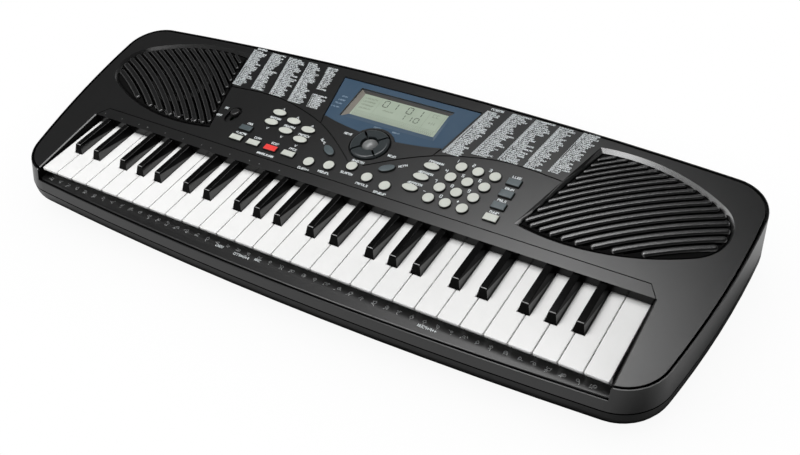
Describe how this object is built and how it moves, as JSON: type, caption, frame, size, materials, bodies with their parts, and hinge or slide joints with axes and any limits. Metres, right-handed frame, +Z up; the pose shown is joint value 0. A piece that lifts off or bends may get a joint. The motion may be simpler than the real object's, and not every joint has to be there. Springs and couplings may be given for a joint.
{
  "type": "arranger keyboard",
  "caption": "Portable arranger keyboard: hinged mini piano keys, ribbed speaker grilles, display window, cursor pad and push buttons on a sloping panel in a two-shell case.",
  "frame": {"origin": "on the table plane under the middle of the case", "axes": "+X to the treble end, +Y to the back, +Z up"},
  "size_m": [0.6804, 0.2552, 0.0688],
  "materials": {
    "case_plastic": "fine grain moulded",
    "white_key_plastic": "glossy",
    "black_key_plastic": "glossy",
    "window_plastic": "glossy, blue grey",
    "button_plastic": "satin",
    "cursor_plastic": "glossy",
    "board_laminate": "solder mask",
    "speaker_steel": "dull",
    "screw_steel": "plain",
    "foot_rubber": "dull"
  },
  "bodies": {
    "case": {"upper_case": "case_plastic", "lower_case": "case_plastic", "display_window": "window_plastic", "circuit_boards": "board_laminate", "speakers": "speaker_steel", "case_screws": "screw_steel", "rubber_feet": "foot_rubber"},
    "battery_door": {"battery_door": "case_plastic"},
    "power_switch": {"power_switch": "cursor_plastic"},
    "push_buttons": {"push_buttons": "button_plastic"},
    "cursor_pad": {"cursor_pad": "cursor_plastic"},
    "black_key_a_sharp_2": {"black_key_a_sharp_2": "black_key_plastic"},
    "black_key_a_sharp_3": {"black_key_a_sharp_3": "black_key_plastic"},
    "black_key_a_sharp_4": {"black_key_a_sharp_4": "black_key_plastic"},
    "black_key_a_sharp_5": {"black_key_a_sharp_5": "black_key_plastic"},
    "black_key_c_sharp_2": {"black_key_c_sharp_2": "black_key_plastic"},
    "black_key_c_sharp_3": {"black_key_c_sharp_3": "black_key_plastic"},
    "black_key_c_sharp_4": {"black_key_c_sharp_4": "black_key_plastic"},
    "black_key_c_sharp_5": {"black_key_c_sharp_5": "black_key_plastic"},
    "black_key_d_sharp_2": {"black_key_d_sharp_2": "black_key_plastic"},
    "black_key_d_sharp_3": {"black_key_d_sharp_3": "black_key_plastic"},
    "black_key_d_sharp_4": {"black_key_d_sharp_4": "black_key_plastic"},
    "black_key_d_sharp_5": {"black_key_d_sharp_5": "black_key_plastic"},
    "black_key_f_sharp_2": {"black_key_f_sharp_2": "black_key_plastic"},
    "black_key_f_sharp_3": {"black_key_f_sharp_3": "black_key_plastic"},
    "black_key_f_sharp_4": {"black_key_f_sharp_4": "black_key_plastic"},
    "black_key_f_sharp_5": {"black_key_f_sharp_5": "black_key_plastic"},
    "black_key_g_sharp_2": {"black_key_g_sharp_2": "black_key_plastic"},
    "black_key_g_sharp_3": {"black_key_g_sharp_3": "black_key_plastic"},
    "black_key_g_sharp_4": {"black_key_g_sharp_4": "black_key_plastic"},
    "black_key_g_sharp_5": {"black_key_g_sharp_5": "black_key_plastic"},
    "white_key_a2": {"white_key_a2": "white_key_plastic"},
    "white_key_a3": {"white_key_a3": "white_key_plastic"},
    "white_key_a4": {"white_key_a4": "white_key_plastic"},
    "white_key_a5": {"white_key_a5": "white_key_plastic"},
    "white_key_b2": {"white_key_b2": "white_key_plastic"},
    "white_key_b3": {"white_key_b3": "white_key_plastic"},
    "white_key_b4": {"white_key_b4": "white_key_plastic"},
    "white_key_b5": {"white_key_b5": "white_key_plastic"},
    "white_key_c2": {"white_key_c2": "white_key_plastic"},
    "white_key_c3": {"white_key_c3": "white_key_plastic"},
    "white_key_c4": {"white_key_c4": "white_key_plastic"},
    "white_key_c5": {"white_key_c5": "white_key_plastic"},
    "white_key_c6": {"white_key_c6": "white_key_plastic"},
    "white_key_d2": {"white_key_d2": "white_key_plastic"},
    "white_key_d3": {"white_key_d3": "white_key_plastic"},
    "white_key_d4": {"white_key_d4": "white_key_plastic"},
    "white_key_d5": {"white_key_d5": "white_key_plastic"},
    "white_key_e2": {"white_key_e2": "white_key_plastic"},
    "white_key_e3": {"white_key_e3": "white_key_plastic"},
    "white_key_e4": {"white_key_e4": "white_key_plastic"},
    "white_key_e5": {"white_key_e5": "white_key_plastic"},
    "white_key_f2": {"white_key_f2": "white_key_plastic"},
    "white_key_f3": {"white_key_f3": "white_key_plastic"},
    "white_key_f4": {"white_key_f4": "white_key_plastic"},
    "white_key_f5": {"white_key_f5": "white_key_plastic"},
    "white_key_g2": {"white_key_g2": "white_key_plastic"},
    "white_key_g3": {"white_key_g3": "white_key_plastic"},
    "white_key_g4": {"white_key_g4": "white_key_plastic"},
    "white_key_g5": {"white_key_g5": "white_key_plastic"}
  },
  "joints": [
    {"name": "black_key_a_sharp_2_press", "type": "hinge", "parent": "case", "child": "black_key_a_sharp_2", "pos_m": [0, 0.01664, 0.039], "axis": [1, 0, 0], "range_deg": [0, 2.7], "stiffness_Nm_per_rad": 0.7, "springref_deg": -4.01},
    {"name": "black_key_a_sharp_3_press", "type": "hinge", "parent": "case", "child": "black_key_a_sharp_3", "pos_m": [0, 0.01664, 0.039], "axis": [1, 0, 0], "range_deg": [0, 2.7], "stiffness_Nm_per_rad": 0.7, "springref_deg": -4.01},
    {"name": "black_key_a_sharp_4_press", "type": "hinge", "parent": "case", "child": "black_key_a_sharp_4", "pos_m": [0, 0.01664, 0.039], "axis": [1, 0, 0], "range_deg": [0, 2.7], "stiffness_Nm_per_rad": 0.7, "springref_deg": -4.01},
    {"name": "black_key_a_sharp_5_press", "type": "hinge", "parent": "case", "child": "black_key_a_sharp_5", "pos_m": [0, 0.01664, 0.039], "axis": [1, 0, 0], "range_deg": [0, 2.7], "stiffness_Nm_per_rad": 0.7, "springref_deg": -4.01},
    {"name": "black_key_c_sharp_2_press", "type": "hinge", "parent": "case", "child": "black_key_c_sharp_2", "pos_m": [0, 0.01664, 0.039], "axis": [1, 0, 0], "range_deg": [0, 2.7], "stiffness_Nm_per_rad": 0.7, "springref_deg": -4.01},
    {"name": "black_key_c_sharp_3_press", "type": "hinge", "parent": "case", "child": "black_key_c_sharp_3", "pos_m": [0, 0.01664, 0.039], "axis": [1, 0, 0], "range_deg": [0, 2.7], "stiffness_Nm_per_rad": 0.7, "springref_deg": -4.01},
    {"name": "black_key_c_sharp_4_press", "type": "hinge", "parent": "case", "child": "black_key_c_sharp_4", "pos_m": [0, 0.01664, 0.039], "axis": [1, 0, 0], "range_deg": [0, 2.7], "stiffness_Nm_per_rad": 0.7, "springref_deg": -4.01},
    {"name": "black_key_c_sharp_5_press", "type": "hinge", "parent": "case", "child": "black_key_c_sharp_5", "pos_m": [0, 0.01664, 0.039], "axis": [1, 0, 0], "range_deg": [0, 2.7], "stiffness_Nm_per_rad": 0.7, "springref_deg": -4.01},
    {"name": "black_key_d_sharp_2_press", "type": "hinge", "parent": "case", "child": "black_key_d_sharp_2", "pos_m": [0, 0.01664, 0.039], "axis": [1, 0, 0], "range_deg": [0, 2.7], "stiffness_Nm_per_rad": 0.7, "springref_deg": -4.01},
    {"name": "black_key_d_sharp_3_press", "type": "hinge", "parent": "case", "child": "black_key_d_sharp_3", "pos_m": [0, 0.01664, 0.039], "axis": [1, 0, 0], "range_deg": [0, 2.7], "stiffness_Nm_per_rad": 0.7, "springref_deg": -4.01},
    {"name": "black_key_d_sharp_4_press", "type": "hinge", "parent": "case", "child": "black_key_d_sharp_4", "pos_m": [0, 0.01664, 0.039], "axis": [1, 0, 0], "range_deg": [0, 2.7], "stiffness_Nm_per_rad": 0.7, "springref_deg": -4.01},
    {"name": "black_key_d_sharp_5_press", "type": "hinge", "parent": "case", "child": "black_key_d_sharp_5", "pos_m": [0, 0.01664, 0.039], "axis": [1, 0, 0], "range_deg": [0, 2.7], "stiffness_Nm_per_rad": 0.7, "springref_deg": -4.01},
    {"name": "black_key_f_sharp_2_press", "type": "hinge", "parent": "case", "child": "black_key_f_sharp_2", "pos_m": [0, 0.01664, 0.039], "axis": [1, 0, 0], "range_deg": [0, 2.7], "stiffness_Nm_per_rad": 0.7, "springref_deg": -4.01},
    {"name": "black_key_f_sharp_3_press", "type": "hinge", "parent": "case", "child": "black_key_f_sharp_3", "pos_m": [0, 0.01664, 0.039], "axis": [1, 0, 0], "range_deg": [0, 2.7], "stiffness_Nm_per_rad": 0.7, "springref_deg": -4.01},
    {"name": "black_key_f_sharp_4_press", "type": "hinge", "parent": "case", "child": "black_key_f_sharp_4", "pos_m": [0, 0.01664, 0.039], "axis": [1, 0, 0], "range_deg": [0, 2.7], "stiffness_Nm_per_rad": 0.7, "springref_deg": -4.01},
    {"name": "black_key_f_sharp_5_press", "type": "hinge", "parent": "case", "child": "black_key_f_sharp_5", "pos_m": [0, 0.01664, 0.039], "axis": [1, 0, 0], "range_deg": [0, 2.7], "stiffness_Nm_per_rad": 0.7, "springref_deg": -4.01},
    {"name": "black_key_g_sharp_2_press", "type": "hinge", "parent": "case", "child": "black_key_g_sharp_2", "pos_m": [0, 0.01664, 0.039], "axis": [1, 0, 0], "range_deg": [0, 2.7], "stiffness_Nm_per_rad": 0.7, "springref_deg": -4.01},
    {"name": "black_key_g_sharp_3_press", "type": "hinge", "parent": "case", "child": "black_key_g_sharp_3", "pos_m": [0, 0.01664, 0.039], "axis": [1, 0, 0], "range_deg": [0, 2.7], "stiffness_Nm_per_rad": 0.7, "springref_deg": -4.01},
    {"name": "black_key_g_sharp_4_press", "type": "hinge", "parent": "case", "child": "black_key_g_sharp_4", "pos_m": [0, 0.01664, 0.039], "axis": [1, 0, 0], "range_deg": [0, 2.7], "stiffness_Nm_per_rad": 0.7, "springref_deg": -4.01},
    {"name": "black_key_g_sharp_5_press", "type": "hinge", "parent": "case", "child": "black_key_g_sharp_5", "pos_m": [0, 0.01664, 0.039], "axis": [1, 0, 0], "range_deg": [0, 2.7], "stiffness_Nm_per_rad": 0.7, "springref_deg": -4.01},
    {"name": "white_key_a2_press", "type": "hinge", "parent": "case", "child": "white_key_a2", "pos_m": [0, 0.01664, 0.039], "axis": [1, 0, 0], "range_deg": [0, 2.7], "stiffness_Nm_per_rad": 0.7, "springref_deg": -4.01},
    {"name": "white_key_a3_press", "type": "hinge", "parent": "case", "child": "white_key_a3", "pos_m": [0, 0.01664, 0.039], "axis": [1, 0, 0], "range_deg": [0, 2.7], "stiffness_Nm_per_rad": 0.7, "springref_deg": -4.01},
    {"name": "white_key_a4_press", "type": "hinge", "parent": "case", "child": "white_key_a4", "pos_m": [0, 0.01664, 0.039], "axis": [1, 0, 0], "range_deg": [0, 2.7], "stiffness_Nm_per_rad": 0.7, "springref_deg": -4.01},
    {"name": "white_key_a5_press", "type": "hinge", "parent": "case", "child": "white_key_a5", "pos_m": [0, 0.01664, 0.039], "axis": [1, 0, 0], "range_deg": [0, 2.7], "stiffness_Nm_per_rad": 0.7, "springref_deg": -4.01},
    {"name": "white_key_b2_press", "type": "hinge", "parent": "case", "child": "white_key_b2", "pos_m": [0, 0.01664, 0.039], "axis": [1, 0, 0], "range_deg": [0, 2.7], "stiffness_Nm_per_rad": 0.7, "springref_deg": -4.01},
    {"name": "white_key_b3_press", "type": "hinge", "parent": "case", "child": "white_key_b3", "pos_m": [0, 0.01664, 0.039], "axis": [1, 0, 0], "range_deg": [0, 2.7], "stiffness_Nm_per_rad": 0.7, "springref_deg": -4.01},
    {"name": "white_key_b4_press", "type": "hinge", "parent": "case", "child": "white_key_b4", "pos_m": [0, 0.01664, 0.039], "axis": [1, 0, 0], "range_deg": [0, 2.7], "stiffness_Nm_per_rad": 0.7, "springref_deg": -4.01},
    {"name": "white_key_b5_press", "type": "hinge", "parent": "case", "child": "white_key_b5", "pos_m": [0, 0.01664, 0.039], "axis": [1, 0, 0], "range_deg": [0, 2.7], "stiffness_Nm_per_rad": 0.7, "springref_deg": -4.01},
    {"name": "white_key_c2_press", "type": "hinge", "parent": "case", "child": "white_key_c2", "pos_m": [0, 0.01664, 0.039], "axis": [1, 0, 0], "range_deg": [0, 2.7], "stiffness_Nm_per_rad": 0.7, "springref_deg": -4.01},
    {"name": "white_key_c3_press", "type": "hinge", "parent": "case", "child": "white_key_c3", "pos_m": [0, 0.01664, 0.039], "axis": [1, 0, 0], "range_deg": [0, 2.7], "stiffness_Nm_per_rad": 0.7, "springref_deg": -4.01},
    {"name": "white_key_c4_press", "type": "hinge", "parent": "case", "child": "white_key_c4", "pos_m": [0, 0.01664, 0.039], "axis": [1, 0, 0], "range_deg": [0, 2.7], "stiffness_Nm_per_rad": 0.7, "springref_deg": -4.01},
    {"name": "white_key_c5_press", "type": "hinge", "parent": "case", "child": "white_key_c5", "pos_m": [0, 0.01664, 0.039], "axis": [1, 0, 0], "range_deg": [0, 2.7], "stiffness_Nm_per_rad": 0.7, "springref_deg": -4.01},
    {"name": "white_key_c6_press", "type": "hinge", "parent": "case", "child": "white_key_c6", "pos_m": [0, 0.01664, 0.039], "axis": [1, 0, 0], "range_deg": [0, 2.7], "stiffness_Nm_per_rad": 0.7, "springref_deg": -4.01},
    {"name": "white_key_d2_press", "type": "hinge", "parent": "case", "child": "white_key_d2", "pos_m": [0, 0.01664, 0.039], "axis": [1, 0, 0], "range_deg": [0, 2.7], "stiffness_Nm_per_rad": 0.7, "springref_deg": -4.01},
    {"name": "white_key_d3_press", "type": "hinge", "parent": "case", "child": "white_key_d3", "pos_m": [0, 0.01664, 0.039], "axis": [1, 0, 0], "range_deg": [0, 2.7], "stiffness_Nm_per_rad": 0.7, "springref_deg": -4.01},
    {"name": "white_key_d4_press", "type": "hinge", "parent": "case", "child": "white_key_d4", "pos_m": [0, 0.01664, 0.039], "axis": [1, 0, 0], "range_deg": [0, 2.7], "stiffness_Nm_per_rad": 0.7, "springref_deg": -4.01},
    {"name": "white_key_d5_press", "type": "hinge", "parent": "case", "child": "white_key_d5", "pos_m": [0, 0.01664, 0.039], "axis": [1, 0, 0], "range_deg": [0, 2.7], "stiffness_Nm_per_rad": 0.7, "springref_deg": -4.01},
    {"name": "white_key_e2_press", "type": "hinge", "parent": "case", "child": "white_key_e2", "pos_m": [0, 0.01664, 0.039], "axis": [1, 0, 0], "range_deg": [0, 2.7], "stiffness_Nm_per_rad": 0.7, "springref_deg": -4.01},
    {"name": "white_key_e3_press", "type": "hinge", "parent": "case", "child": "white_key_e3", "pos_m": [0, 0.01664, 0.039], "axis": [1, 0, 0], "range_deg": [0, 2.7], "stiffness_Nm_per_rad": 0.7, "springref_deg": -4.01},
    {"name": "white_key_e4_press", "type": "hinge", "parent": "case", "child": "white_key_e4", "pos_m": [0, 0.01664, 0.039], "axis": [1, 0, 0], "range_deg": [0, 2.7], "stiffness_Nm_per_rad": 0.7, "springref_deg": -4.01},
    {"name": "white_key_e5_press", "type": "hinge", "parent": "case", "child": "white_key_e5", "pos_m": [0, 0.01664, 0.039], "axis": [1, 0, 0], "range_deg": [0, 2.7], "stiffness_Nm_per_rad": 0.7, "springref_deg": -4.01},
    {"name": "white_key_f2_press", "type": "hinge", "parent": "case", "child": "white_key_f2", "pos_m": [0, 0.01664, 0.039], "axis": [1, 0, 0], "range_deg": [0, 2.7], "stiffness_Nm_per_rad": 0.7, "springref_deg": -4.01},
    {"name": "white_key_f3_press", "type": "hinge", "parent": "case", "child": "white_key_f3", "pos_m": [0, 0.01664, 0.039], "axis": [1, 0, 0], "range_deg": [0, 2.7], "stiffness_Nm_per_rad": 0.7, "springref_deg": -4.01},
    {"name": "white_key_f4_press", "type": "hinge", "parent": "case", "child": "white_key_f4", "pos_m": [0, 0.01664, 0.039], "axis": [1, 0, 0], "range_deg": [0, 2.7], "stiffness_Nm_per_rad": 0.7, "springref_deg": -4.01},
    {"name": "white_key_f5_press", "type": "hinge", "parent": "case", "child": "white_key_f5", "pos_m": [0, 0.01664, 0.039], "axis": [1, 0, 0], "range_deg": [0, 2.7], "stiffness_Nm_per_rad": 0.7, "springref_deg": -4.01},
    {"name": "white_key_g2_press", "type": "hinge", "parent": "case", "child": "white_key_g2", "pos_m": [0, 0.01664, 0.039], "axis": [1, 0, 0], "range_deg": [0, 2.7], "stiffness_Nm_per_rad": 0.7, "springref_deg": -4.01},
    {"name": "white_key_g3_press", "type": "hinge", "parent": "case", "child": "white_key_g3", "pos_m": [0, 0.01664, 0.039], "axis": [1, 0, 0], "range_deg": [0, 2.7], "stiffness_Nm_per_rad": 0.7, "springref_deg": -4.01},
    {"name": "white_key_g4_press", "type": "hinge", "parent": "case", "child": "white_key_g4", "pos_m": [0, 0.01664, 0.039], "axis": [1, 0, 0], "range_deg": [0, 2.7], "stiffness_Nm_per_rad": 0.7, "springref_deg": -4.01},
    {"name": "white_key_g5_press", "type": "hinge", "parent": "case", "child": "white_key_g5", "pos_m": [0, 0.01664, 0.039], "axis": [1, 0, 0], "range_deg": [0, 2.7], "stiffness_Nm_per_rad": 0.7, "springref_deg": -4.01},
    {"name": "battery_door_hinge", "type": "hinge", "parent": "case", "child": "battery_door", "pos_m": [-0.0823, 0.08716, 0.0065], "axis": [1, 0, 0], "range_deg": [0, 90]},
    {"name": "power_switch_slide", "type": "slide", "parent": "case", "child": "power_switch", "axis": [0, -0.9956, -0.0934], "range_m": [0, 0.007]},
    {"name": "push_buttons_press", "type": "slide", "parent": "case", "child": "push_buttons", "axis": [0, 0.0934, -0.9956], "range_m": [0, 0.0012], "stiffness_N_per_m": 900, "springref_m": -0.0006},
    {"name": "cursor_pad_press", "type": "slide", "parent": "case", "child": "cursor_pad", "axis": [0, 0.0934, -0.9956], "range_m": [0, 0.0012], "stiffness_N_per_m": 700, "springref_m": -0.0006}
  ]
}
